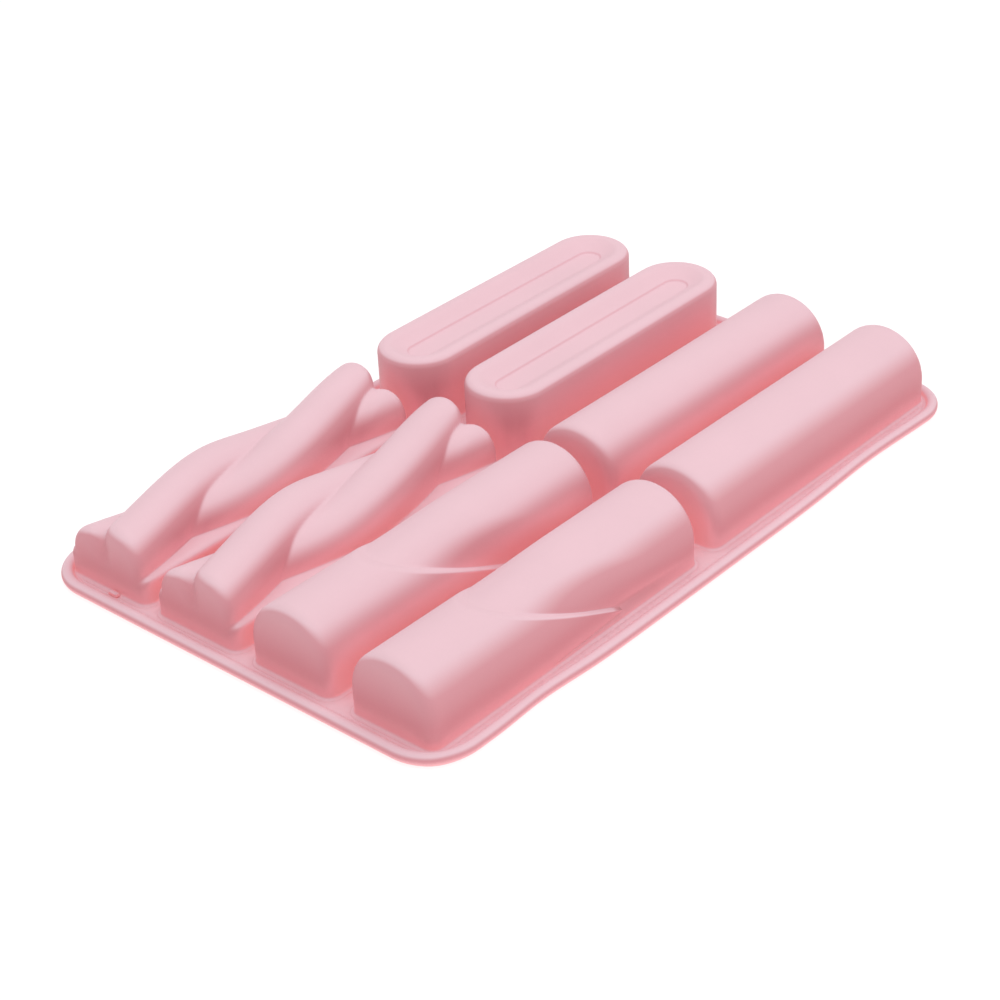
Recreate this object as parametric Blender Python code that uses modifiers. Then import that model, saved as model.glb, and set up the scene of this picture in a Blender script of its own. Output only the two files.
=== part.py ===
"""Soft soap mould tray with eight loaf cups in two rows of four, shown cups up.

The tray is one soft moulding. Each region of it that has its own shape is a separate closed solid:
the flat deck, the rounded rim bead, eight hollow cups and a small gate nub.
Frame: metres, +Z up, Z = 0 on the open underside, origin at the middle of the tray.
X runs along the cups, Y across them.
"""
import math

import bmesh
import bpy

COLLECTION = "soap_loaf_mould"
CUTTERS = "opening_cutters"

# Tray
TRAY_L = 0.3000
TRAY_W = 0.1918
CORNER_R = 0.0205
CORNER_STEPS = 8
DECK_T = 0.0020
RIM_W = 0.0044
RIM_H = 0.0045
RIM_TOP_R = 0.0020
RIM_FOOT_R = 0.0005
GAP = 0.0003

# Cups: the front row stands at -X, the back row at +X
WALL = 0.0020
CUP_L = 0.1367
ROW_X = 0.0730
COLUMN_PITCH = 0.0452
CUP_END_R = 0.0040
END_STEPS = 3

# Round-topped section shared by the log and swirl cups
LOG_W = 0.0366
LOG_H = 0.0300
ARC_STEPS = 16

# Swirl cup: a sloping plane cuts the proud front part, and the rear part rises out of it
LAP_TOP_X = -0.0314
LAP_SLOPE = 2.36
LAP_STEP = 0.0023
LAP_FACE = 0.0022
LAP_FADE = 0.0450
LAP_FOOT_Z = 0.0030

# Twist cup: strands wound round an axis above a block with a ledge
TWIST_W = 0.0402
LEDGE_Z = 0.0120
LEDGE_R = 0.0030
STRAND_R = 0.0118
STRAND_SWING = 0.0070
STRAND_Z = 0.0152
STRAND_LIFT = 0.0035
STRAND_SNAP = 0.71
STRAND_LEAN = 0.0005
STRAND_RISE = 0.0283
TWIST_START = math.radians(22.5)
TWIST_TURN = math.radians(309.6)
CROWN_STEPS = 18
TWIST_ROWS = 32

# Oval cup
OVAL_W = 0.0338
OVAL_H = 0.0303
OVAL_RIM_R = 0.0032
OVAL_RIM_FLAT = 0.0020
PANEL_SLOPE_W = 0.0066
PANEL_DEPTH = 0.0043
OVAL_END_STEPS = 14

# Gate nub
NUB = (0.0020, 0.0045, 0.0012)
NUB_Y = 0.0628

SILICONE_ROUGHNESS = 0.55


def clear_scene():
    for obj in list(bpy.data.objects):
        bpy.data.objects.remove(obj)


def new_collection(name):
    collection = bpy.data.collections.new(name)
    bpy.context.scene.collection.children.link(collection)
    return collection


def silicone(name, colour):
    material = bpy.data.materials.new(name)
    material.use_nodes = True
    shader = material.node_tree.nodes["Principled BSDF"]
    shader.inputs["Base Color"].default_value = (*colour, 1.0)
    shader.inputs["Roughness"].default_value = SILICONE_ROUGHNESS
    shader.inputs["Metallic"].default_value = 0.0
    return material


def add_object(name, bm, collection, material=None):
    bmesh.ops.recalc_face_normals(bm, faces=bm.faces)
    mesh = bpy.data.meshes.new(name)
    bm.to_mesh(mesh)
    bm.free()
    mesh.shade_smooth()
    mesh.set_sharp_from_angle(angle=math.radians(35))
    obj = bpy.data.objects.new(name, mesh)
    collection.objects.link(obj)
    if material:
        mesh.materials.append(material)
    return obj


def rounded_rectangle(length, width, radius, steps):
    """Outline points of a rectangle with round corners, counter-clockwise."""
    points = []
    corners = ((1, 1, 0), (-1, 1, 90), (-1, -1, 180), (1, -1, 270))
    for side_x, side_y, start in corners:
        centre_x = side_x * (length / 2 - radius)
        centre_y = side_y * (width / 2 - radius)
        for step in range(steps + 1):
            angle = math.radians(start + 90 * step / steps)
            points.append((centre_x + radius * math.cos(angle), centre_y + radius * math.sin(angle)))
    return points


def stadium(length, width):
    """Outline points of a bar with fully round ends, counter-clockwise."""
    points = []
    for side, start in ((1, -90), (-1, 90)):
        for step in range(OVAL_END_STEPS + 1):
            angle = math.radians(start + 180 * step / OVAL_END_STEPS)
            centre_x = side * (length - width) / 2
            points.append((centre_x + width / 2 * math.cos(angle), width / 2 * math.sin(angle)))
    return points


def outline_ring(bm, outline, z):
    return [bm.verts.new((x, y, z)) for x, y in outline]


def bridge(bm, ring_a, ring_b, closed=True):
    """Quads between two rows of the same number of vertices."""
    count = len(ring_a)
    for i in range(count if closed else count - 1):
        j = (i + 1) % count
        bm.faces.new((ring_a[i], ring_a[j], ring_b[j], ring_b[i]))


def prism(outline, z0, z1):
    bm = bmesh.new()
    face = bm.faces.new(outline_ring(bm, outline, z0))
    top = bmesh.ops.extrude_face_region(bm, geom=[face])["geom"]
    raised = [item for item in top if isinstance(item, bmesh.types.BMVert)]
    bmesh.ops.translate(bm, verts=raised, vec=(0, 0, z1 - z0))
    return bm


def bevel_by_weight(obj, width, segments, weight):
    """Bevel modifier whose width on each edge is scaled by weight(edge)."""
    layer = obj.data.attributes.new("bevel_weight_edge", "FLOAT", "EDGE")
    for edge in obj.data.edges:
        ends = [obj.data.vertices[i].co for i in edge.vertices]
        layer.data[edge.index].value = weight(*ends)
    bevel = obj.modifiers.new("edges", "BEVEL")
    bevel.limit_method = "WEIGHT"
    bevel.width = width
    bevel.segments = segments


def cup_centre(row, column):
    """Row 0 is the front (-X) row; column 0 is the outermost cup at +Y."""
    return ((ROW_X, -ROW_X)[row == 0], COLUMN_PITCH * (1.5 - column))


def cut_openings(deck, cutters):
    """One rounded opening through the deck under each cup, a gap wider than the cup all round."""
    for row in range(2):
        for column in range(4):
            length = CUP_L + 2 * GAP
            if row == 1 and column < 2:
                outline = stadium(length, OVAL_W + 2 * GAP)
            else:
                width = (TWIST_W if column < 2 else LOG_W) + 2 * GAP
                outline = rounded_rectangle(length, width, CUP_END_R + GAP, END_STEPS)
            cutter = add_object(f"opening_{row}_{column}", prism(outline, -DECK_T, 2 * DECK_T), cutters)
            cutter.location = (*cup_centre(row, column), 0)
            cutter.hide_render = True
            cutter.display_type = "WIRE"
            cut = deck.modifiers.new(cutter.name, "BOOLEAN")
            cut.operation = "DIFFERENCE"
            cut.object = cutter


def make_deck(collection, cutters, material):
    inset = 2 * (RIM_W + GAP)
    outline = rounded_rectangle(TRAY_L - inset, TRAY_W - inset, CORNER_R - inset / 2, CORNER_STEPS)
    deck = add_object("deck", prism(outline, 0, DECK_T), collection, material)
    cut_openings(deck, cutters)


def rim_profile():
    """(inset, z) round the bead's section: up the outside, over the top and down the inside."""
    points = []
    for step in range(3):
        angle = math.pi / 2 * step / 2
        points.append((RIM_FOOT_R * (1 - math.sin(angle)), RIM_FOOT_R * (1 - math.cos(angle))))
    for step in range(9):
        angle = math.pi * step / 8
        middle = RIM_TOP_R if step < 4 else RIM_W - RIM_TOP_R
        points.append((middle - RIM_TOP_R * math.cos(angle), RIM_H - RIM_TOP_R * (1 - math.sin(angle))))
    for step in range(3):
        angle = math.pi / 2 * step / 2
        points.append((RIM_W - RIM_FOOT_R * (1 - math.cos(angle)), RIM_FOOT_R * (1 - math.sin(angle))))
    return points


def make_rim(collection, material):
    bm = bmesh.new()
    rings = []
    for inset, z in rim_profile():
        outline = rounded_rectangle(TRAY_L - 2 * inset, TRAY_W - 2 * inset, CORNER_R - inset, CORNER_STEPS)
        rings.append(outline_ring(bm, outline, z))
    for ring_a, ring_b in zip(rings, rings[1:] + rings[:1]):
        bridge(bm, ring_a, ring_b)
    add_object("rim_bead", bm, collection, material)


def arch(half_width, height):
    """Round-topped section as (y, z) points, from the foot at -Y over the top to the foot at +Y."""
    centre_z = height - half_width
    points = [(-half_width, 0)]
    for step in range(ARC_STEPS + 1):
        angle = math.pi * step / ARC_STEPS
        points.append((-half_width * math.cos(angle), centre_z + half_width * math.sin(angle)))
    return points + [(half_width, 0)]


def make_log_cup(name, row, column, collection, material):
    """A plain round-topped cup: an open-bottomed skin with rounded ends, given its wall."""
    bm = bmesh.new()
    section = [bm.verts.new((-CUP_L / 2, y, z)) for y, z in arch(LOG_W / 2, LOG_H)]
    face = bm.faces.new(section)
    moved = bmesh.ops.extrude_face_region(bm, geom=[face])["geom"]
    far = [item for item in moved if isinstance(item, bmesh.types.BMVert)]
    bmesh.ops.translate(bm, verts=far, vec=(CUP_L, 0, 0))
    floor = [f for f in bm.faces if all(v.co.z < GAP for v in f.verts)]
    bmesh.ops.delete(bm, geom=floor, context="FACES_ONLY")
    cup = add_object(name, bm, collection, material)
    cup.location = (*cup_centre(row, column), 0)

    def weight(a, b):
        on_floor = max(a.z, b.z) < GAP
        return 1.0 if abs(a.x - b.x) < GAP and not on_floor else 0.0

    bevel_by_weight(cup, CUP_END_R, END_STEPS, weight)
    wall = cup.modifiers.new("wall", "SOLIDIFY")
    wall.thickness = WALL
    wall.offset = -1
    wall.use_even_offset = True


def shell(name, rows_outer, rows_inner, collection, material):
    """Closed hollow cup from two nested lofts that are open at the bottom and meet at Z = 0."""
    bm = bmesh.new()
    skins = []
    for rows in (rows_outer, rows_inner):
        grid = [[bm.verts.new(p) for p in row] for row in rows]
        for row_a, row_b in zip(grid, grid[1:]):
            for i in range(len(row_a) - 1):
                bm.faces.new((row_a[i], row_a[i + 1], row_b[i + 1]))
                bm.faces.new((row_a[i], row_b[i + 1], row_b[i]))
        bm.faces.new(grid[0])
        bm.faces.new(grid[-1])
        skins.append(grid)
    mouths = [[row[0] for row in grid] + [row[-1] for row in reversed(grid)] for grid in skins]
    bridge(bm, *mouths)
    return add_object(name, bm, collection, material)


def end_stations(front, back, radius):
    """(x, inset) pairs along a cup whose two ends are rounded by a quarter circle."""
    angles = [math.pi / 2 * step / END_STEPS for step in range(END_STEPS + 1)]
    rounding = [(radius * (1 - math.cos(a)), radius * (1 - math.sin(a))) for a in angles]
    start = [(front + along, inset) for along, inset in rounding]
    finish = [(back - along, inset) for along, inset in reversed(rounding)]
    return start, finish


def cup_rows(section, front, back, radius, inset, middle_rows):
    """Loft rows of one skin: section(x, inset) gives the (y, z) points of a station."""
    start, finish = end_stations(front + inset, back - inset, max(radius - inset, GAP))
    x0 = start[-1][0]
    x1 = finish[0][0]
    middle = [(x0 + (x1 - x0) * i / middle_rows, 0) for i in range(1, middle_rows)]
    rows = []
    for x, extra in start + middle + finish:
        rows.append([(x, y, z) for y, z in section(x, inset + extra)])
    return rows


def strand_centres(x):
    """Middles of the two strands at x, as (y, height over the ledge). The rope climbs along +X."""
    turn = TWIST_START + TWIST_TURN * (x + CUP_L / 2) / CUP_L
    level = STRAND_Z - LEDGE_Z + STRAND_RISE * x
    centres = []
    for around in (turn, turn + math.pi):
        lift = STRAND_LIFT * math.tanh(math.sin(around) / STRAND_SNAP) - STRAND_LEAN * math.cos(around)
        centres.append((-STRAND_SWING * math.cos(around), level + lift))
    return centres


def strand_reach(angle, centres, radius):
    """Distance along a ray from the middle of the ledge out to the strands.

    Each strand is round above its widest line and drops straight down to the ledge below it.
    """
    ray_y, ray_z = -math.cos(angle), math.sin(angle)
    reach = 0.0
    for y, z in centres:
        along = y * ray_y + z * ray_z
        inside = max(radius ** 2 - y ** 2 - z ** 2 + along ** 2, 0)
        out = along + math.sqrt(inside)
        if inside == 0 or out * ray_z < z:
            out = (y + math.copysign(radius, ray_y)) / ray_y
        reach = max(reach, out)
    return reach


def crease_angles(centres, radius):
    """Ray angles at which the two strands cross each other above the ledge."""
    (y_a, z_a), (y_b, z_b) = centres
    apart = math.hypot(y_b - y_a, z_b - z_a)
    half_chord = math.sqrt(max(radius ** 2 - apart ** 2 / 4, 0))
    angles = []
    for side in (-1, 1):
        y = (y_a + y_b) / 2 - side * half_chord * (z_b - z_a) / apart
        z = (z_a + z_b) / 2 + side * half_chord * (y_b - y_a) / apart
        if z > 0:
            angles.append(math.atan2(z, -y))
    return angles


def crown_angles(creases):
    """Even ray angles over the crown, with the nearest one moved onto each crease."""
    angles = [math.pi * step / CROWN_STEPS for step in range(CROWN_STEPS + 1)]
    for crease in creases:
        nearest = round(crease / math.pi * CROWN_STEPS)
        if 0 < nearest < CROWN_STEPS:
            angles[nearest] = crease
    return angles


def twist_section(x, inset):
    """Block with a ledge, and over it the strands as they lie at this x."""
    half = TWIST_W / 2 - inset
    centres = [(y, z + inset) for y, z in strand_centres(x)]
    radius = STRAND_R - inset
    crown = []
    for angle in crown_angles(crease_angles(centres, radius)):
        reach = strand_reach(angle, centres, radius)
        y = max(-half + GAP, min(half - GAP, -reach * math.cos(angle)))
        crown.append((y, LEDGE_Z - inset + reach * math.sin(angle)))
    sides = []
    for foot in (-1, 1):
        edge = crown[0] if foot < 0 else crown[-1]
        radius = min(max(LEDGE_R - inset, 2 * GAP), half - abs(edge[0]))
        corner = []
        for step in range(END_STEPS + 1):
            angle = math.pi / 2 * step / END_STEPS
            y = foot * (half - radius + radius * math.cos(angle))
            corner.append((y, LEDGE_Z - inset - radius + radius * math.sin(angle)))
        sides.append([(foot * half, 0)] + corner)
    return sides[0] + crown + sides[1][::-1]


def make_twist_cup(name, row, column, collection, material):
    skins = [cup_rows(twist_section, -CUP_L / 2, CUP_L / 2, CUP_END_R, inset, TWIST_ROWS)
             for inset in (0, WALL)]
    cup = shell(name, *skins, collection, material)
    cup.location = (*cup_centre(row, column), 0)


def lap_x(z):
    """Where the sloping lap plane lies at height z."""
    return LAP_TOP_X - LAP_SLOPE * (z - LOG_H)


def swirl_rows(inset):
    """Loft rows of one skin: full-size rows up to the lap plane, then the rear part behind it."""
    def section(extra):
        points = arch(LOG_W / 2 - extra, LOG_H - extra)
        low, high = points[0], points[-1]
        return [low, (low[0], LAP_FOOT_Z)] + points[1:-1] + [(high[0], LAP_FOOT_Z), high]

    front, back = -CUP_L / 2, CUP_L / 2
    start, finish = end_stations(front + inset, back - inset, max(CUP_END_R - inset, GAP))
    rows = [[(x, y, z) for y, z in section(inset + extra)] for x, extra in start]
    full = section(inset)
    first = start[-1][0]
    last = finish[0][0]
    for share in (0.35, 0.7, 1.0):
        rows.append([(first + (lap_x(z) - inset - first) * share, y, z) for y, z in full])
    for share in (0.0, 0.2, 0.4, 0.6, 0.8):
        row = []
        for i, (_, z) in enumerate(full):
            foot = lap_x(z) - inset + LAP_FACE
            x = foot + (last - foot) * share
            fade = min(1.0, (x - foot) / LAP_FADE)
            step_in = LAP_STEP * (1 - fade * fade * (3 - 2 * fade)) if z > 0 else 0
            y_low, z_low = section(inset + step_in)[i]
            row.append((x, y_low, z_low))
        rows.append(row)
    rows += [[(x, y, z) for y, z in section(inset + extra)] for x, extra in finish]
    return rows


def make_swirl_cup(name, row, column, collection, material):
    cup = shell(name, swirl_rows(0), swirl_rows(WALL), collection, material)
    cup.location = (*cup_centre(row, column), 0)


def oval_profile():
    """(inset, z) from the foot up the wall, over the rim and down to the sunken panel."""
    points = [(0, 0)]
    for step in range(END_STEPS + 1):
        angle = math.pi / 2 * step / END_STEPS
        points.append((OVAL_RIM_R * (1 - math.cos(angle)), OVAL_H - OVAL_RIM_R * (1 - math.sin(angle))))
    lip = OVAL_RIM_R + OVAL_RIM_FLAT
    points.append((lip, OVAL_H))
    points.append((lip + PANEL_SLOPE_W, OVAL_H - PANEL_DEPTH))
    return points


def oval_skin(bm, wall):
    """Stadium rings, one for each profile point, closed by the sunken panel. Returns the mouth."""
    rings = []
    for inset, z in oval_profile():
        width = OVAL_W - 2 * (inset + wall)
        length = CUP_L - 2 * (inset + wall)
        rings.append(outline_ring(bm, stadium(length, width), max(z - wall, 0)))
    for ring_a, ring_b in zip(rings, rings[1:]):
        bridge(bm, ring_a, ring_b)
    bm.faces.new(rings[-1])
    return rings[0]


def make_oval_cup(name, row, column, collection, material):
    bm = bmesh.new()
    bridge(bm, oval_skin(bm, 0), oval_skin(bm, WALL))
    cup = add_object(name, bm, collection, material)
    cup.location = (*cup_centre(row, column), 0)


def make_nub(collection, material):
    bm = bmesh.new()
    bmesh.ops.create_cube(bm, size=1.0)
    bmesh.ops.scale(bm, vec=NUB, verts=bm.verts)
    nub = add_object("gate_nub", bm, collection, material)
    cup_front = -ROW_X - CUP_L / 2
    nub.location = (cup_front - NUB[0] / 2 - 2 * GAP, NUB_Y, DECK_T + GAP + NUB[2] / 2)


def build():
    clear_scene()
    parts = new_collection(COLLECTION)
    cutters = new_collection(CUTTERS)
    make_deck(parts, cutters, silicone("deck_silicone", (0.80, 0.45, 0.53)))
    make_rim(parts, silicone("rim_silicone", (0.83, 0.48, 0.55)))
    cups = (
        ("cup_twist_outer", make_twist_cup, 0, 0), ("cup_twist_inner", make_twist_cup, 0, 1),
        ("cup_swirl_inner", make_swirl_cup, 0, 2), ("cup_swirl_outer", make_swirl_cup, 0, 3),
        ("cup_oval_outer", make_oval_cup, 1, 0), ("cup_oval_inner", make_oval_cup, 1, 1),
        ("cup_log_inner", make_log_cup, 1, 2), ("cup_log_outer", make_log_cup, 1, 3),
    )
    for name, make, row, column in cups:
        make(name, row, column, parts, silicone(name + "_silicone", (0.86, 0.55, 0.60)))
    make_nub(parts, silicone("nub_silicone", (0.88, 0.60, 0.65)))


build()
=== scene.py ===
import math

import bpy
import bmesh
import numpy as np
from mathutils import Matrix, Vector
from mathutils.geometry import delaunay_2d_cdt


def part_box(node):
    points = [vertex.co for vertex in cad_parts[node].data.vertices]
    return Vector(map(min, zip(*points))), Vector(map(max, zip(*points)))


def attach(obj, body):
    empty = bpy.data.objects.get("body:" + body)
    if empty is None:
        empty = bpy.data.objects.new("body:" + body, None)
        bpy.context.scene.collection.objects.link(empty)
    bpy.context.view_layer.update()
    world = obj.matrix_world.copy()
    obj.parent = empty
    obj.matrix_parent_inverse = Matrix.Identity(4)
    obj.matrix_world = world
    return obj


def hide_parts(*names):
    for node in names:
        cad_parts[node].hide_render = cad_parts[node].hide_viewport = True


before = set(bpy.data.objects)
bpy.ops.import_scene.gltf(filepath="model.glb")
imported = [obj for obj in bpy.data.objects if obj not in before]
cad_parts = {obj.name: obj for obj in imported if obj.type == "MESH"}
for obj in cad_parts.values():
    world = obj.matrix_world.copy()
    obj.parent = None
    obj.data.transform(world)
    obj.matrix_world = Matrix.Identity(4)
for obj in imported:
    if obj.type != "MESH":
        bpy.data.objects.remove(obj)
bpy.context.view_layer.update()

MM = 0.001

# Tray (millimetre figures are written as multiples of MM)
WALL = 2.0 * MM
CORNER_R = 20.5 * MM
CORNER_STEPS = 16
DECK_FLAT = 0.15 * MM        # level strip round every joint, so the shading runs on across it
DECK_GRID = 2.6 * MM
RIM_R = 2.25 * MM
RIM_FILLET = 1.4 * MM
RIM_STEPS = 28
RIM_FILLET_STEPS = 5
RIM_END_TURN = 1.42 * math.pi    # the bead is round as far as this angle, then flat below
RIM_FLAT_START = 0.95            # where its flat underside starts, in bead radii
RIM_FOOT = 2 * RIM_R - 0.4 * MM  # inner edge of the flat underside
SIDE_STEP = 3.0 * MM             # spacing of points along the tray's straight sides
LONG_SIDE_STEPS = 3              # shorter lengths than this many steps stay undivided
CLEAR_OF_LOOP = 0.35             # grid points keep this share of DECK_GRID off every edge
NUB_PINCH = 0.82
NUB_EDGE = 0.35 * MM
NUB_EDGE_STEPS = 4

# Cups
ARCH_CUPS = (("cup_twist_outer", "twist"), ("cup_twist_inner", "twist"),
             ("cup_swirl_inner", "swirl"), ("cup_swirl_outer", "swirl"),
             ("cup_log_inner", "log"), ("cup_log_outer", "log"))
OVAL_CUPS = ("cup_oval_outer", "cup_oval_inner")
END_R = 4.0 * MM             # rounding between a cup's ends and its sides and crown
FOOT_R = 1.3 * MM            # fillet from the wall out onto the deck
LIP_R = 0.8 * MM             # rounding of the mouth on the underside
FOOT_STEPS = 6
FAN_STEPS = 56               # columns round each end of a cup
SPINE_BACK = 16.0 * MM       # the rays of each end fan start this far inside it
STRAIGHT_STEPS = {"twist": 128, "swirl": 80, "log": 40}
WALL_STEPS = 5
CROWN_STEPS = 24
RAY_REACH = 80.0 * MM
HALVINGS = 24

# Lapped cup
LAP_TOP_X = -31.4 * MM
LAP_SLOPE = 2.36
LAP_STEP = 2.3 * MM
LAP_FADE = 45.0 * MM
LAP_EDGE_R = 0.8 * MM
LAP_BLEND = 0.5 * MM
LAP_SHOULDER = 15.0 * MM     # the step runs out over this much of the crown on the +Y side
LAP_FOOT = 1.8 * MM          # and over this height above the foot fillet
LAP_DENSE = 5.0 * MM         # columns are close together this far to each side of the lap
LAP_SHARES = (0, 0.30, 0.55, 1.0)   # shares of the columns up to, across and past the lap
LAP_KEEP = 3.0 * MM
LAP_CELL = 1.0 * MM

# Twist cup
LEDGE_Z = 12.0 * MM
LEDGE_R = 2.4 * MM
STRAND_R = 11.8 * MM
STRAND_SWING = 7.0 * MM
STRAND_Z = 15.2 * MM
STRAND_LIFT = 3.5 * MM
STRAND_SNAP = 0.71
STRAND_LEAN = 0.5 * MM
STRAND_RISE = 0.0283
GROOVE_DEPTH = 2.6 * MM      # the notch between the strands runs down the end faces
GROOVE_W = 9.5 * MM
GROOVE_POWER = 1.4
GROOVE_FROM = 3.0 * MM       # the groove starts this far below the ledge
GROOVE_RISE = 9.0 * MM
END_NOTCH = 1.8 * MM         # the crease is this much deeper at the very ends
END_NOTCH_REACH = 8.0 * MM
TWIST_START = math.radians(22.5)
TWIST_TURN = math.radians(309.6)
STRAND_BLEND = 0.45 * MM
LEDGE_BLEND = 1.0 * MM
TWIST_EYE = 4.0 * MM         # height of the point that the twist's rays start from
TWIST_BENDS = ((0, 16, 6), (16, 44, 20), (44, 90, 22))   # ray elevations: from, to, points

# Oval cup
OVAL_RIM_R = 3.2 * MM
OVAL_RIM_FLAT = 2.0 * MM
PANEL_SLOPE_W = 6.6 * MM
PANEL_DEPTH = 4.3 * MM
PANEL_EDGE_R = 3.8 * MM
PANEL_STEP = 1.0 * MM        # small soft step round the sunken floor
PANEL_STEP_W = 1.3 * MM
PANEL_STEP_STEPS = 8
PANEL_EDGE_STEPS = 6
PANEL_EDGE_TURN = 1.25       # the slope starts this much steeper than its straight line
OVAL_RIM_STEPS = 10
OVAL_WALL_STEPS = 8
OVAL_STRAIGHT_STEPS = 40
OVAL_FAN_STEPS = 44

# Places where the soft -Y edge of the tray has drawn in: middle along X, spread, amount
EDGE_BOWS = ((-98 * MM, 21 * MM, 1.9 * MM), (-134 * MM, 15 * MM, 0.9 * MM),
             (92 * MM, 30 * MM, 1.7 * MM))
EDGE_BOW_ALL = 0.15 * MM     # the whole edge lies at least this far in
EDGE_FROM = 86.5 * MM
EDGE_W = 8.0 * MM
CROWN_SAG = 0.12 * MM
SAG_Z = 30.0 * MM
SAG_WAVE_X = 31.0 * MM
SAG_WAVE_Y = 23.0 * MM
FLOOR_GAP = 0.05 * MM        # keeps the floor off the tray's flat underside
FLOOR_HALF = 3.0

# Silicone, with light and shade painted into its colour: side colours from the depth of a gap to
# the open (painted gap light and painted shade), a painted highlight on what faces up, faint
# painted glow in the gaps
PAINTED_GAP_PINK = (1.00, 0.570, 0.570, 1)
PAINTED_WALL_PINK = (0.98, 0.460, 0.505, 1)
SHADE_PINK = (0.69, 0.255, 0.290, 1)
PAINTED_TOP_LIGHT_PINK = (0.87, 0.585, 0.645, 1)
GLOW_PINK = (1.00, 0.330, 0.350, 1)
FLECK_BROWN = (0.60, 0.33, 0.30, 1)
RAMP_DEEP, RAMP_WALL, RAMP_SHADE = 0.10, 0.50, 0.80
GAP_REACH = 18.0 * MM        # how far the occlusion looks round
GAP_SAMPLES = 8
TOP_LIGHT_POWER = 2.0
TOP_LIGHT_FULL = 0.66
TOP_LIGHT_GAP = (0.02, 0.40)     # openness over which the painted top highlight comes in
PALE_Z = (10.0 * MM, 30.0 * MM)
PALE_TOP = 0.42              # share of painted top highlight on upright walls at the crown, painted light that pales the upper walls
GLOW_GAP = (0.05, 0.50)
GLOW_STRENGTH = 0.055
ROUGHNESS = (0.47, 0.58)

# Studio
FLOOR_GREYS = ((0.36, 0.36, 0.36, 1), (0.39, 0.39, 0.39, 1))
FLOOR_GLOW = 0.72
WORLD_LIGHT = 0.62
LIGHTS = (("overhead", (0.05, 0.0, 1.1), (0, 0, 0), 1.2, 5.6),
          ("right_fill", (0.1, -1.0, 0.55), (0, 0, 0.01), 0.9, 1.2))
VIEW_TURN = math.radians(41.949)
VIEW_DOWN = math.radians(30.957)
VIEW_ROLL = math.radians(-2.610)
VIEW_DISTANCE = 0.85631
LENS = 83.164
SHIFT = (-0.0198, -0.0185)


def smoothstep(value):
    t = np.clip(value, 0, 1)
    return t * t * (3 - 2 * t)


def rounded_and(a, b, radius):
    """Distance field of what lies in both fields, with their shared edge rounded."""
    outside = np.hypot(np.maximum(a + radius, 0), np.maximum(b + radius, 0))
    return np.minimum(np.maximum(a, b) + radius, 0) + outside - radius


def soft_min(a, b, blend):
    """Distance field of what lies in either field, with the crease between them filled."""
    mix = np.clip(0.5 + 0.5 * (b - a) / blend, 0, 1)
    return b * (1 - mix) + a * mix - blend * mix * (1 - mix)


def settle(co):
    """The soft moulding isn't dead straight: its -Y edge bows and the crowns lie uneven."""
    x, y, z = co[:, 0], co[:, 1], co[:, 2]
    moved = co.copy()
    edge = smoothstep((-y - EDGE_FROM) / EDGE_W)
    moved[:, 1] += edge * edge_bow(x)
    high = smoothstep(z / SAG_Z)
    moved[:, 2] -= high * CROWN_SAG * (1 + np.sin(x / SAG_WAVE_X + y / SAG_WAVE_Y))
    return moved


def edge_bow(x):
    """How far the -Y edge lies inside its straight line."""
    bow = np.full_like(x, EDGE_BOW_ALL)
    for middle, spread, amount in EDGE_BOWS:
        bow += amount * np.exp(-((x - middle) / spread) ** 2)
    return bow


# ---------------------------------------------------------------- materials

def node(tree, kind, **inputs):
    made = tree.nodes.new(kind)
    for key, value in inputs.items():
        made.inputs[key.replace("_", " ")].default_value = value
    return made


def math_node(tree, operation, *values):
    made = tree.nodes.new("ShaderNodeMath")
    made.operation = operation
    for slot, value in zip(made.inputs, values):
        tree.links.new(value, slot)
    return made


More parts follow.
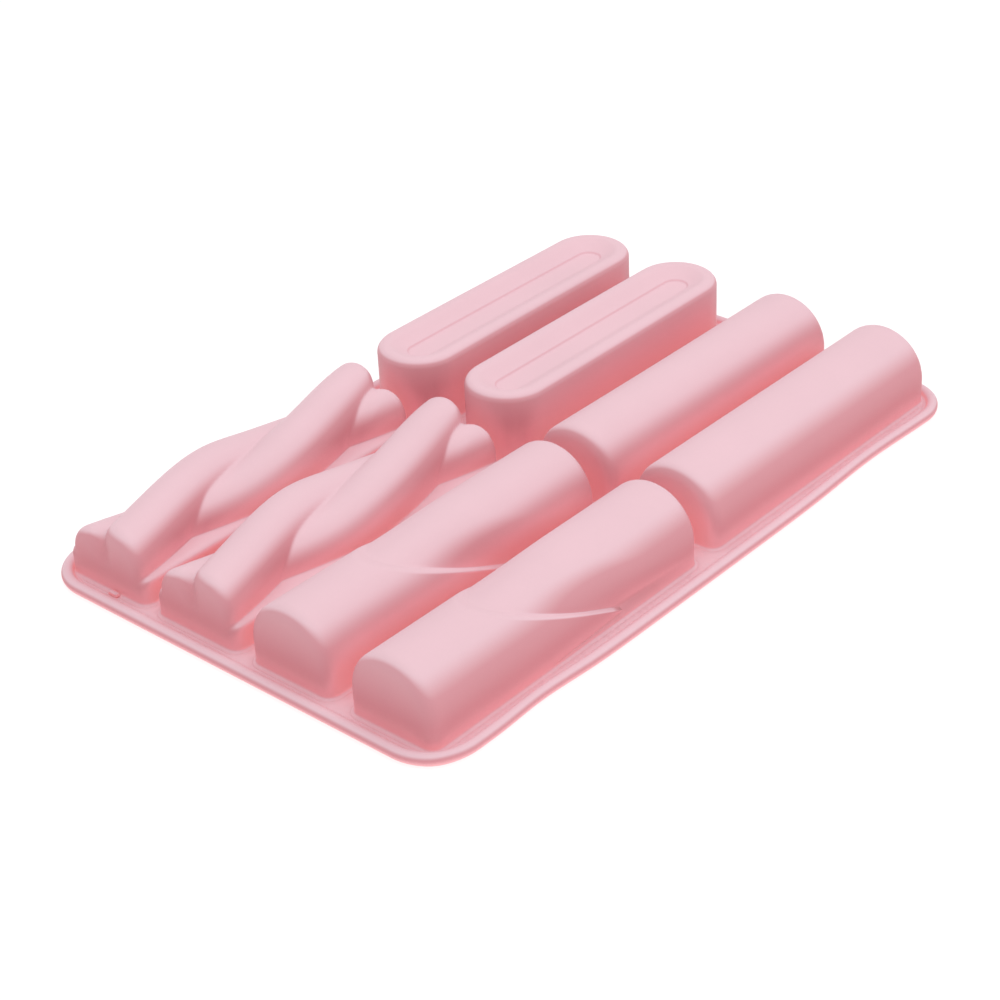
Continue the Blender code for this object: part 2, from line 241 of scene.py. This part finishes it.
def silicone():
    """Matte, slightly powdery pink silicone with painted light and shade: deeper pink painted where
    light bounces inside a gap, paler where it faces up or stands high.
    """
    mat = bpy.data.materials.new("pink_silicone")
    mat.use_nodes = True
    tree = mat.node_tree
    link = tree.links.new
    shader = tree.nodes["Principled BSDF"]
    shader.inputs["IOR"].default_value = 1.41
    shader.inputs["Specular IOR Level"].default_value = 0.28
    shader.inputs["Sheen Weight"].default_value = 0.04
    shader.inputs["Sheen Roughness"].default_value = 0.55
    coords = tree.nodes.new("ShaderNodeTexCoord")
    where = coords.outputs["Object"]

    # Painted shade and painted gap light: the base colour follows this occlusion
    near = tree.nodes.new("ShaderNodeAmbientOcclusion")
    near.samples = GAP_SAMPLES
    near.inputs["Distance"].default_value = GAP_REACH
    # Painted highlight: surfaces that face up and lie open get the paler top-light pink
    facing = tree.nodes.new("ShaderNodeNewGeometry")
    facing_axes = tree.nodes.new("ShaderNodeSeparateXYZ")
    link(facing.outputs["Normal"], facing_axes.inputs["Vector"])
    upward = tree.nodes.new("ShaderNodeClamp")
    link(facing_axes.outputs["Z"], upward.inputs["Value"])
    curve = math_node(tree, "POWER", upward.outputs["Result"])
    curve.inputs[1].default_value = TOP_LIGHT_POWER
    top_facing_light = node(tree, "ShaderNodeMapRange", From_Max=TOP_LIGHT_FULL)
    top_facing_light.interpolation_type = "SMOOTHSTEP"
    link(curve.outputs["Value"], top_facing_light.inputs["Value"])
    airy = node(tree, "ShaderNodeMapRange", From_Min=TOP_LIGHT_GAP[0], From_Max=TOP_LIGHT_GAP[1])
    link(near.outputs["AO"], airy.inputs["Value"])
    painted_top_light = math_node(tree, "MULTIPLY", top_facing_light.outputs["Result"], airy.outputs["Result"])

    # Painted light: upright walls turn paler towards the crown with height
    place = tree.nodes.new("ShaderNodeSeparateXYZ")
    link(where, place.inputs["Vector"])
    height = node(tree, "ShaderNodeMapRange", From_Min=PALE_Z[0], From_Max=PALE_Z[1],
                  To_Max=PALE_TOP)
    link(place.outputs["Z"], height.inputs["Value"])
    painted_light_share = math_node(tree, "MAXIMUM", painted_top_light.outputs["Value"], height.outputs["Result"])

    # Painted gap light and painted shade: bright deep pink in gaps, wall pink, then darker shade
    # pink on open upright walls
    gap_shade_ramp = tree.nodes.new("ShaderNodeValToRGB")
    ramp = gap_shade_ramp.color_ramp
    ramp.elements[0].position = RAMP_DEEP
    ramp.elements[0].color = PAINTED_GAP_PINK
    ramp.elements[1].position = RAMP_SHADE
    ramp.elements[1].color = SHADE_PINK
    ramp.elements.new(RAMP_WALL).color = PAINTED_WALL_PINK
    link(near.outputs["AO"], gap_shade_ramp.inputs["Fac"])
    top_lit_colour = tree.nodes.new("ShaderNodeMix")
    top_lit_colour.data_type = "RGBA"
    link(painted_light_share.outputs["Value"], top_lit_colour.inputs["Factor"])
    link(gap_shade_ramp.outputs["Color"], top_lit_colour.inputs["A"])
    top_lit_colour.inputs["B"].default_value = PAINTED_TOP_LIGHT_PINK

    # Painted glow: a faint pink emission in the gaps stands in for light carried through the
    # silicone
    glow = node(tree, "ShaderNodeMapRange", From_Min=GLOW_GAP[0], From_Max=GLOW_GAP[1],
                To_Min=GLOW_STRENGTH, To_Max=0.0)
    link(near.outputs["AO"], glow.inputs["Value"])
    link(glow.outputs["Result"], shader.inputs["Emission Strength"])
    shader.inputs["Emission Color"].default_value = GLOW_PINK

    cloud = node(tree, "ShaderNodeTexNoise", Scale=28.0, Detail=3.0, Roughness=0.5)
    link(where, cloud.inputs["Vector"])
    cloud_range = node(tree, "ShaderNodeMapRange", To_Min=0.965, To_Max=1.03)
    link(cloud.outputs["Fac"], cloud_range.inputs["Value"])
    powder = node(tree, "ShaderNodeTexNoise", Scale=900.0, Detail=4.0, Roughness=0.6)
    link(where, powder.inputs["Vector"])
    powder_range = node(tree, "ShaderNodeMapRange", To_Min=0.985, To_Max=1.015)
    link(powder.outputs["Fac"], powder_range.inputs["Value"])
    tone = math_node(tree, "MULTIPLY", cloud_range.outputs["Result"],
                     powder_range.outputs["Result"])
    tinted = tree.nodes.new("ShaderNodeVectorMath")
    tinted.operation = "SCALE"
    link(top_lit_colour.outputs["Result"], tinted.inputs[0])
    link(tone.outputs["Value"], tinted.inputs["Scale"])

    cells = node(tree, "ShaderNodeTexVoronoi", Scale=62.0, Randomness=1.0)
    link(where, cells.inputs["Vector"])
    speck = node(tree, "ShaderNodeMapRange", From_Min=0.020, From_Max=0.034,
                 To_Min=1.0, To_Max=0.0)
    link(cells.outputs["Distance"], speck.inputs["Value"])
    rare = tree.nodes.new("ShaderNodeSeparateColor")
    link(cells.outputs["Color"], rare.inputs["Color"])
    chosen = node(tree, "ShaderNodeMapRange", From_Min=0.90, From_Max=0.92,
                  To_Min=0.0, To_Max=0.45)
    link(rare.outputs["Red"], chosen.inputs["Value"])
    fleck = math_node(tree, "MULTIPLY", speck.outputs["Result"], chosen.outputs["Result"])
    flecked = tree.nodes.new("ShaderNodeMix")
    flecked.data_type = "RGBA"
    flecked.inputs["B"].default_value = FLECK_BROWN
    link(fleck.outputs["Value"], flecked.inputs["Factor"])
    link(tinted.outputs["Vector"], flecked.inputs["A"])
    link(flecked.outputs["Result"], shader.inputs["Base Color"])

    rough = node(tree, "ShaderNodeMapRange", To_Min=ROUGHNESS[0], To_Max=ROUGHNESS[1])
    link(cloud.outputs["Fac"], rough.inputs["Value"])
    link(rough.outputs["Result"], shader.inputs["Roughness"])

    swell = node(tree, "ShaderNodeTexNoise", Scale=75.0, Detail=1.0, Roughness=0.4)
    link(where, swell.inputs["Vector"])
    broad = node(tree, "ShaderNodeBump", Strength=0.25, Distance=0.35 * MM)
    link(swell.outputs["Fac"], broad.inputs["Height"])
    grain = node(tree, "ShaderNodeBump", Strength=0.18, Distance=0.05 * MM)
    link(powder.outputs["Fac"], grain.inputs["Height"])
    link(broad.outputs["Normal"], grain.inputs["Normal"])
    link(grain.outputs["Normal"], shader.inputs["Normal"])
    return mat


def paper():
    """Plain pale floor, partly lit from within so that little of the tray's pink shows on it."""
    mat = bpy.data.materials.new("studio_paper")
    mat.use_nodes = True
    tree = mat.node_tree
    shader = tree.nodes["Principled BSDF"]
    shader.inputs["Roughness"].default_value = 0.9
    shader.inputs["Specular IOR Level"].default_value = 0.1
    shader.inputs["Emission Color"].default_value = (1, 1, 1, 1)
    shader.inputs["Emission Strength"].default_value = FLOOR_GLOW
    fibre = node(tree, "ShaderNodeTexNoise", Scale=9.0, Detail=4.0, Roughness=0.5)
    tint = tree.nodes.new("ShaderNodeValToRGB")
    for element, grey in zip(tint.color_ramp.elements, FLOOR_GREYS):
        element.color = grey
    tree.links.new(fibre.outputs["Fac"], tint.inputs["Fac"])
    tree.links.new(tint.outputs["Color"], shader.inputs["Base Color"])
    return mat


# ---------------------------------------------------------------- mesh helpers

def make_piece(name, replaced, verts, faces, flat_faces, mat):
    """A piece in the row frame. flat_faces are the joints inside the moulding, shaded flat."""
    mesh = bpy.data.meshes.new(name)
    mesh.from_pydata(settle(np.asarray(verts)).tolist(), [], faces + flat_faces)
    smooth = np.ones(len(faces) + len(flat_faces), bool)
    smooth[len(faces):] = False
    mesh.polygons.foreach_set("use_smooth", smooth)
    bm = bmesh.new()
    bm.from_mesh(mesh)
    bmesh.ops.remove_doubles(bm, verts=bm.verts, dist=1e-6)
    bmesh.ops.recalc_face_normals(bm, faces=bm.faces)
    bm.to_mesh(mesh)
    bm.free()
    mesh.materials.append(mat)
    piece = bpy.data.objects.new(name, mesh)
    bpy.context.scene.collection.objects.link(piece)
    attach(piece, "root")
    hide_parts(replaced)
    return piece


def ring_faces(first, second, count):
    """Quads between two closed rings whose vertices start at first and second."""
    return [(first + i, first + (i + 1) % count, second + (i + 1) % count, second + i)
            for i in range(count)]


def cup_place(name):
    """Middle of a cup in plan, and its half length, half width and height, from the CAD."""
    low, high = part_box(name)
    centre = np.array([(low.x + high.x) / 2, (low.y + high.y) / 2, 0.0])
    return centre, (high.x - low.x) / 2, (high.y - low.y) / 2, high.z


DECK_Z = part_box("deck")[1].z


# ---------------------------------------------------------------- cup fields

def arch_field(y, z, half, height):
    """Upright sides under a half-round crown."""
    over = z - (height - half)
    return np.where(over > 0, np.hypot(y, over), np.abs(y)) - half


def log_field(p, half_length, half, height):
    arch = arch_field(p[..., 1], p[..., 2], half, height)
    return rounded_and(arch, np.abs(p[..., 0]) - half_length, END_R)


def lap_x(z, height):
    return LAP_TOP_X - LAP_SLOPE * (z - height)


def swirl_field(p, half_length, half, height):
    x, y, z = p[..., 0], p[..., 1], p[..., 2]
    arch = arch_field(y, z, half, height)
    behind = (x - lap_x(z, height)) / math.hypot(1, LAP_SLOPE)
    share = smoothstep((half - y) / LAP_SHOULDER)
    foot = smoothstep((z - DECK_Z - FOOT_R) / LAP_FOOT)
    fade = smoothstep((x - lap_x(z, height)) / LAP_FADE)
    rear = arch + LAP_STEP * (1 - fade) * foot * share
    proud = rounded_and(arch, behind, LAP_EDGE_R)
    return rounded_and(soft_min(proud, rear, LAP_BLEND), np.abs(x) - half_length, END_R)


def strands(x, y, z, half_length):
    """Section fields of the two strands, each round above its widest line and upright below it."""
    turn = TWIST_START + TWIST_TURN * (x + half_length) / (2 * half_length)
    level = STRAND_Z + STRAND_RISE * x
    fields = []
    for around in (turn, turn + math.pi):
        lift = STRAND_LIFT * np.tanh(np.sin(around) / STRAND_SNAP) - STRAND_LEAN * np.cos(around)
        off = y + STRAND_SWING * np.cos(around)
        up = z - level - lift
        fields.append(np.where(up > 0, np.hypot(off, up), np.abs(off)) - STRAND_R)
    return fields


def twist_field(p, half_length, half, height):
    x, y, z = p[..., 0], p[..., 1], p[..., 2]
    block = rounded_and(np.abs(y) - half, z - LEDGE_Z, LEDGE_R)
    first, second = strands(x, y, z, half_length)
    body = soft_min(block, soft_min(first, second, STRAND_BLEND), LEDGE_BLEND)
    apart = np.abs(first - second)
    close_to_end = np.exp((np.abs(x) - half_length) / END_NOTCH_REACH)
    body = body + END_NOTCH * close_to_end * np.maximum(0, 1 - apart / (GROOVE_W / 2))
    notch = np.maximum(0, 1 - apart / GROOVE_W) ** GROOVE_POWER
    notch = notch * smoothstep((z - LEDGE_Z + GROOVE_FROM) / GROOVE_RISE)
    return rounded_and(body, np.abs(x) - half_length + GROOVE_DEPTH * notch, END_R)


def foot_field(p, half_length, half, grow):
    """Upright rounded rectangle, grown outward by grow."""
    across, along = np.abs(p[..., 1]) - half, np.abs(p[..., 0]) - half_length
    return rounded_and(across - grow, along - grow, END_R + grow)


def trace(field, start, direction):
    """Walks out from each start along its direction to the surface of the field."""
    low = np.zeros(start.shape[:-1])
    high = np.full_like(low, RAY_REACH)
    for _ in range(HALVINGS):
        middle = (low + high) / 2
        inside = field(start + direction * middle[..., None]) < 0
        low = np.where(inside, middle, low)
        high = np.where(inside, high, middle)
    return start + direction * low[..., None]


def columns(half_length, straight, fan):
    """Ray starts on the spine and plan directions, once round the cup counter-clockwise."""
    spine = half_length - SPINE_BACK
    along = np.linspace(-spine, spine, straight + 1)
    share = np.linspace(0, 1, straight + 1)
    x = [along, np.full(fan - 1, spine), along[::-1], np.full(fan - 1, -spine)]
    sweep = np.linspace(0, math.pi, fan + 1)[1:-1]
    angle = [np.full(straight + 1, -math.pi / 2), sweep - math.pi / 2,
             np.full(straight + 1, math.pi / 2), sweep + math.pi / 2]
    along_share = [share, np.ones(fan - 1), share[::-1], np.zeros(fan - 1)]
    return np.concatenate(x), np.concatenate(angle), np.concatenate(along_share)


def ridge_index(straight, fan):
    """For each column, the ridge point that it ends at."""
    rise = list(range(straight + 1))
    return rise + [straight] * (fan - 1) + rise[::-1] + [0] * (fan - 1)


def lap_warp(share, z, half_length, height):
    """X of the ray starts on the lapped cup: they bunch up along the lap and follow its slope."""
    spine = half_length - SPINE_BACK
    lap = np.clip(lap_x(z, height), -spine + LAP_KEEP, spine - LAP_KEEP)
    x0 = np.interp(share, LAP_SHARES, range(len(LAP_SHARES)))
    pos = np.stack([np.full_like(lap, -spine), np.maximum(lap - LAP_DENSE, -spine + LAP_CELL),
                    np.minimum(lap + LAP_DENSE, spine - LAP_CELL), np.full_like(lap, spine)], -1)
    cell = np.clip(x0.astype(int), 0, 2)
    frac = x0 - cell
    return pos[..., cell] * (1 - frac) + pos[..., cell + 1] * frac


def skin_rings(kind, sizes, inset, straight):
    """Rings of one skin of a cup from just over the foot to its crown, and the ridge line."""
    half_length, half, height = sizes
    x, angle, share = columns(half_length, straight, FAN_STEPS)
    plan = np.stack([np.cos(angle), np.sin(angle)], -1)
    base = DECK_Z + FOOT_R
    if kind == "twist":
        eye = max(TWIST_EYE, base)
        wall_z = [eye]
        bends = np.concatenate([np.linspace(*bend)[1:] for bend in TWIST_BENDS])
    else:
        eye = height - half
        wall_z = np.linspace(base, eye, WALL_STEPS)[1:]
        bends = np.linspace(0, 90, CROWN_STEPS)[1:]
    cup_field = {"log": log_field, "swirl": swirl_field, "twist": twist_field}[kind]

    def field(p):
        return cup_field(p, half_length, half, height) + inset

    rings = []
    levels = [(z, 0.0) for z in wall_z] + [(eye, math.radians(b)) for b in bends]
    for z, bend in levels:
        start = np.zeros((len(x), 3))
        start[:, 0] = x
        if kind == "swirl":
            level = z + half * math.sin(bend)
            start[:, 0] = lap_warp(share, np.array(level), half_length, height)
        start[:, 2] = z
        rise = np.full((len(x), 1), math.sin(bend))
        way = np.concatenate([plan * math.cos(bend), rise], -1)
        rings.append(trace(field, start, way))
    ridge = rings.pop()[:straight + 1]
    return rings, ridge


def foot_ring(sizes, grow, z, straight):
    half_length, half, _ = sizes
    x, angle, _ = columns(half_length, straight, FAN_STEPS)
    start = np.stack([x, np.zeros_like(x), np.full_like(x, z)], -1)
    way = np.stack([np.cos(angle), np.sin(angle), np.zeros_like(angle)], -1)
    return trace(lambda p: foot_field(p, half_length, half, grow), start, way)


def foot_outer(ring_at):
    """Rings of the fillet from the deck joint up to the wall."""
    rings = [ring_at(FOOT_R + DECK_FLAT, DECK_Z)]
    for step in range(FOOT_STEPS + 1):
        turn = math.pi / 2 * (1 - step / FOOT_STEPS)
        rings.append(ring_at(FOOT_R * (1 - math.cos(turn)), DECK_Z + FOOT_R * (1 - math.sin(turn))))
    return rings


def foot_inner(ring_at):
    """Rings of the rounded mouth from the underside up into the cavity."""
    rings = [ring_at(-WALL + LIP_R + DECK_FLAT, 0.0)]
    for step in range(FOOT_STEPS + 1):
        turn = math.pi / 2 * (1 - step / FOOT_STEPS)
        rings.append(ring_at(-WALL + LIP_R * (1 - math.cos(turn)), LIP_R * (1 - math.sin(turn))))
    return rings


def stack(rings, ridge, links, start):
    """Vertices and faces of a stack of rings closed along a ridge line."""
    count = len(rings[0])
    verts = np.concatenate(rings + [ridge])
    faces = []
    for level in range(len(rings) - 1):
        faces += ring_faces(start + level * count, start + (level + 1) * count, count)
    top = start + (len(rings) - 1) * count
    crest = start + len(rings) * count
    for i in range(count):
        j = (i + 1) % count
        a, b = crest + links[i], crest + links[j]
        faces.append((top + i, top + j, b) if a == b else (top + i, top + j, b, a))
    return verts, faces


def hollow_cup(outer, outer_ridge, inner, inner_ridge, links, centre):
    """Joins two skins at the foot. Returns vertices, faces and the flat faces of the joint."""
    verts_out, faces_out = stack(outer, outer_ridge, links, 0)
    verts_in, faces_in = stack(inner, inner_ridge, links, len(verts_out))
    joint = ring_faces(0, len(verts_out), len(outer[0]))
    return np.concatenate([verts_out, verts_in]) + centre, faces_out + faces_in, joint


def joint_rings(ring_at, centre):
    """The two rings where a cup meets the deck, on top and on the underside."""
    return (ring_at(FOOT_R + DECK_FLAT, DECK_Z) + centre,
            ring_at(-WALL + LIP_R + DECK_FLAT, 0.0) + centre)


def make_arch_cup(name, kind, mat):
    centre, *sizes = cup_place(name)
    straight = STRAIGHT_STEPS[kind]

    def ring_at(grow, z):
        return foot_ring(sizes, grow, z, straight)

    outer, outer_ridge = skin_rings(kind, sizes, 0.0, straight)
    inner, inner_ridge = skin_rings(kind, sizes, WALL, straight)
    outer = foot_outer(ring_at) + outer
    inner = foot_inner(ring_at) + inner
    links = ridge_index(straight, FAN_STEPS)
    verts, faces, joint = hollow_cup(outer, outer_ridge, inner, inner_ridge, links, centre)
    make_piece("silicone_" + name, name, verts, faces, joint, mat)
    return joint_rings(ring_at, centre)


# ---------------------------------------------------------------- oval cup

def stadium_ring(half_length, half, grow, z):
    """Ring of a bar with fully round ends, grown outward by grow."""
    straight, fan = OVAL_STRAIGHT_STEPS, OVAL_FAN_STEPS
    spine = half_length - half
    along = np.linspace(-spine, spine, straight + 1)
    sweep = np.linspace(0, math.pi, fan + 1)[1:-1]
    x = [along, np.full(fan - 1, spine), along[::-1], np.full(fan - 1, -spine)]
    angle = [np.full(straight + 1, -math.pi / 2), sweep - math.pi / 2,
             np.full(straight + 1, math.pi / 2), sweep + math.pi / 2]
    x, angle = np.concatenate(x), np.concatenate(angle)
    reach = half + grow
    return np.stack([x + reach * np.cos(angle), reach * np.sin(angle), np.full_like(x, z)], -1)


def oval_profile(height):
    """(inset, z) over the crown of an oval cup, from the top of its wall to the sunken floor."""
    points = []
    for step in range(OVAL_RIM_STEPS + 1):
        turn = math.pi / 2 * step / OVAL_RIM_STEPS
        points.append((OVAL_RIM_R * (1 - math.cos(turn)),
                       height - OVAL_RIM_R * (1 - math.sin(turn))))
    lip = OVAL_RIM_R + OVAL_RIM_FLAT * 0.5
    points.append((lip, height))
    floor = lip + OVAL_RIM_FLAT * 0.5 + PANEL_SLOPE_W
    low = height - PANEL_DEPTH
    ledge = low + PANEL_STEP
    fall = math.atan2(height - ledge, floor - lip) * PANEL_EDGE_TURN
    for step in range(1, PANEL_EDGE_STEPS + 1):
        turn = fall * step / PANEL_EDGE_STEPS
        points.append((lip + PANEL_EDGE_R * math.sin(turn),
                       height - PANEL_EDGE_R * (1 - math.cos(turn))))
    last = points[-1]
    foot = floor - PANEL_STEP_W * 0.5
    for share in (0.25, 0.5, 0.75):
        points.append((last[0] + (foot - last[0]) * share, last[1] + (ledge - last[1]) * share))
    for step in range(PANEL_STEP_STEPS + 1):
        share = step / PANEL_STEP_STEPS
        points.append((floor + PANEL_STEP_W * (share - 0.5),
                       ledge - PANEL_STEP * smoothstep(share)))
    points += [(floor + PANEL_STEP_W, low), (floor + PANEL_STEP_W * 1.5, low)]
    return points


def make_oval_cup(name, mat):
    centre, half_length, half, height = cup_place(name)

    def ring_at(grow, z):
        return stadium_ring(half_length, half, grow, z)

    base = DECK_Z + FOOT_R
    walls = [base + (height - OVAL_RIM_R - base) * i / OVAL_WALL_STEPS
             for i in range(1, OVAL_WALL_STEPS)]
    crown = oval_profile(height)
    outer = foot_outer(ring_at) + [ring_at(0, z) for z in walls]
    outer += [ring_at(-inset, z) for inset, z in crown]
    inner = foot_inner(ring_at) + [ring_at(-WALL, z - WALL) for z in walls[2:]]
    inner += [ring_at(-max(inset, WALL * 0.5) - WALL * 0.5, z - WALL) for inset, z in crown]
    along = np.linspace(half - half_length, half_length - half, OVAL_STRAIGHT_STEPS + 1)
    ridges = [np.stack([along, np.zeros_like(along), np.full_like(along, top)], -1)
              for top in (height - PANEL_DEPTH, height - PANEL_DEPTH - WALL)]
    links = ridge_index(OVAL_STRAIGHT_STEPS, OVAL_FAN_STEPS)
    verts, faces, joint = hollow_cup(outer, ridges[0], inner, ridges[1], links, centre)
    make_piece("silicone_" + name, name, verts, faces, joint, mat)
    return joint_rings(ring_at, centre)


# ---------------------------------------------------------------- rim, deck and nub

def tray_ring(inset, z):
    """Ring of the tray's rounded-rectangle outline, moved inward by inset."""
    low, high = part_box("rim_bead")
    half_x, half_y = (high.x - low.x) / 2, (high.y - low.y) / 2
    points = []
    for cx, cy, start in ((1, -1, -90), (1, 1, 0), (-1, 1, 90), (-1, -1, 180)):
        for step in range(CORNER_STEPS + 1):
            turn = math.radians(start + 90 * step / CORNER_STEPS)
            points.append((cx * (half_x - CORNER_R) + (CORNER_R - inset) * math.cos(turn),
                           cy * (half_y - CORNER_R) + (CORNER_R - inset) * math.sin(turn)))
    filled = []
    for a, b in zip(points, points[1:] + points[:1]):
        steps = int(math.dist(a, b) / SIDE_STEP)
        steps = steps if steps > LONG_SIDE_STEPS else 1
        filled += [(a[0] + (b[0] - a[0]) * i / steps, a[1] + (b[1] - a[1]) * i / steps)
                   for i in range(steps)]
    return np.array([(x, y, z) for x, y in filled])


def rim_profile():
    """(inset, z) from the joint on the deck, over the round bead and back along the underside."""
    reach = RIM_R + RIM_FILLET
    rise = math.asin(min(1, (DECK_Z + RIM_FILLET - RIM_R) / reach))
    joint = RIM_R + math.cos(rise) * reach
    points = [(joint + DECK_FLAT, DECK_Z), (joint, DECK_Z)]
    for step in range(1, RIM_FILLET_STEPS):
        turn = -math.pi / 2 - (math.pi / 2 - rise) * step / RIM_FILLET_STEPS
        points.append((joint + RIM_FILLET * math.cos(turn),
                       DECK_Z + RIM_FILLET + RIM_FILLET * math.sin(turn)))
    for step in range(RIM_STEPS + 1):
        turn = rise + (RIM_END_TURN - rise) * step / RIM_STEPS
        points.append((RIM_R + RIM_R * math.cos(turn), RIM_R + RIM_R * math.sin(turn)))
    points += [(RIM_R * RIM_FLAT_START, 0.0), (RIM_FOOT, 0.0), (RIM_FOOT + DECK_FLAT, 0.0)]
    return points


def make_rim(mat):
    profile = rim_profile()
    rings = [tray_ring(inset, z) for inset, z in profile]
    count = len(rings[0])
    faces = []
    for level in range(len(rings) - 1):
        faces += ring_faces(level * count, (level + 1) * count, count)
    joint = ring_faces((len(rings) - 1) * count, 0, count)
    make_piece("silicone_rim_bead", "rim_bead", np.concatenate(rings), faces, joint, mat)
    return rings[0], rings[-1]


def sheet_mesh(border, holes, z):
    """Fine triangles of a flat sheet inside the border, with its holes left open."""
    points = [Vector(p[:2]) for p in border]
    edges = [(i, (i + 1) % len(points)) for i in range(len(points))]
    for hole in holes:
        first = len(points)
        points += [Vector(p[:2]) for p in hole]
        edges += [(first + i, first + (i + 1) % len(hole)) for i in range(len(hole))]
    fixed = len(points)
    reach = np.abs(border[:, :2]).max(0)
    grid_x = np.arange(-reach[0], reach[0], DECK_GRID)
    grid_y = np.arange(-reach[1], reach[1], DECK_GRID)
    grid = np.stack(np.meshgrid(grid_x, grid_y), -1).reshape(-1, 2)
    keep = inside_loop(grid, border)
    for hole in holes:
        keep &= ~inside_loop(grid, hole)
    rim_points = np.array([tuple(p) for p in points])
    grid = grid[keep]
    gap = np.array([np.hypot(*(rim_points - g).T).min() for g in grid])
    grid = grid[gap > DECK_GRID * CLEAR_OF_LOOP]
    points += [Vector(g) for g in grid.tolist()]
    out = delaunay_2d_cdt(points, edges, [], 0, 1e-7)
    verts = np.array([(p[0], p[1], z) for p in out[0]])
    middles = np.array([verts[list(f), :2].mean(0) for f in out[2]])
    keep = inside_loop(middles, border)
    for hole in holes:
        keep &= ~inside_loop(middles, hole)
    order = {}
    for new, old in enumerate(out[3]):
        for source in old:
            order[source] = new
    loop_index = [order[i] for i in range(fixed)]
    return verts, [tuple(f) for f, k in zip(out[2], keep) if k], loop_index


def inside_loop(points, loop):
    """Whether each plan point lies inside a closed loop (even-odd rule)."""
    x, y = points[:, 0:1], points[:, 1:2]
    ax, ay = loop[:, 0], loop[:, 1]
    bx, by = np.roll(ax, -1), np.roll(ay, -1)
    crosses = (ay > y) != (by > y)
    slope = (bx - ax) / np.where(by == ay, 1, by - ay)
    return (crosses & (x < ax + (y - ay) * slope)).sum(1) % 2 == 1


def make_deck(top_border, under_border, top_holes, under_holes, mat):
    top, faces, top_loop = sheet_mesh(top_border, top_holes, DECK_Z)
    under, under_faces, under_loop = sheet_mesh(under_border, under_holes, 0.0)
    first = len(top)
    faces += [tuple(first + i for i in reversed(face)) for face in under_faces]
    joint = []
    offset = 0
    for loop in [top_border] + list(top_holes):
        count = len(loop)
        for i in range(count):
            a, b = offset + i, offset + (i + 1) % count
            joint.append((top_loop[a], top_loop[b], first + under_loop[b], first + under_loop[a]))
        offset += count
    make_piece("silicone_deck", "deck", np.concatenate([top, under]), faces, joint, mat)


def make_nub(mat):
    """Small square pip that the mould's gate leaves in the gutter."""
    low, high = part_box("gate_nub")
    half = (high - low) / 2
    bm = bmesh.new()
    bmesh.ops.create_cube(bm, size=2.0)
    for vert in bm.verts:
        pinch = NUB_PINCH if vert.co.z > 0 else 1.0
        vert.co *= half * Vector((pinch, pinch, 1.0))
        vert.co += (low + high) / 2
    bmesh.ops.bevel(bm, geom=bm.edges[:], offset=NUB_EDGE, segments=NUB_EDGE_STEPS, profile=0.5,
                    affect="EDGES")
    bm.verts.index_update()
    verts = [tuple(v.co) for v in bm.verts]
    faces = [tuple(v.index for v in f.verts) for f in bm.faces]
    bm.free()
    make_piece("silicone_gate_nub", "gate_nub", verts, faces, [], mat)


# ---------------------------------------------------------------- studio

def aim(obj, place, target):
    obj.location = place
    obj.rotation_euler = (Vector(target) - Vector(place)).to_track_quat("-Z", "Y").to_euler()


def area_light(name, place, target, size, power):
    light = bpy.data.lights.new(name, "AREA")
    light.shape = "SQUARE"
    light.size = size
    light.energy = power
    lamp = bpy.data.objects.new(name, light)
    bpy.context.scene.collection.objects.link(lamp)
    aim(lamp, place, target)


def make_studio():
    mesh = bpy.data.meshes.new("studio_floor")
    bm = bmesh.new()
    bmesh.ops.create_grid(bm, x_segments=2, y_segments=2, size=FLOOR_HALF)
    bm.to_mesh(mesh)
    bm.free()
    mesh.materials.append(paper())
    floor = bpy.data.objects.new("studio_floor", mesh)
    floor.location.z = -FLOOR_GAP
    bpy.context.scene.collection.objects.link(floor)

    world = bpy.data.worlds.new("studio_world")
    world.use_nodes = True
    background = world.node_tree.nodes["Background"]
    background.inputs["Color"].default_value = (1, 1, 1, 1)
    background.inputs["Strength"].default_value = WORLD_LIGHT
    bpy.context.scene.world = world
    for light in LIGHTS:
        area_light(*light)
    bpy.context.scene.view_settings.view_transform = "Standard"


def make_camera():
    """View from the front right, about 31 degrees above the tray."""
    away = Vector((math.cos(VIEW_TURN) * math.cos(VIEW_DOWN),
                   math.sin(VIEW_TURN) * math.cos(VIEW_DOWN), -math.sin(VIEW_DOWN)))
    right = away.cross(Vector((0, 0, 1))).normalized()
    up = right.cross(away)
    across = right * math.cos(VIEW_ROLL) + up * math.sin(VIEW_ROLL)
    upward = up * math.cos(VIEW_ROLL) - right * math.sin(VIEW_ROLL)
    place = -away * VIEW_DISTANCE + Vector((0, 0, DECK_Z))
    data = bpy.data.cameras.new("studio_camera")
    data.lens = LENS
    data.sensor_width = 36.0
    data.shift_x, data.shift_y = SHIFT
    data.clip_start = 0.01
    camera = bpy.data.objects.new("studio_camera", data)
    bpy.context.scene.collection.objects.link(camera)
    turn = Matrix((across, upward, -away)).transposed().to_4x4()
    camera.matrix_world = Matrix.Translation(place) @ turn
    bpy.context.scene.camera = camera


mat = silicone()
holes = []
for cup, design in ARCH_CUPS:
    holes.append(make_arch_cup(cup, design, mat))
for cup in OVAL_CUPS:
    holes.append(make_oval_cup(cup, mat))
top_border, under_border = make_rim(mat)
make_deck(top_border, under_border, [h[0] for h in holes], [h[1] for h in holes], mat)
make_nub(mat)
make_studio()
make_camera()

bpy.context.view_layer.update()
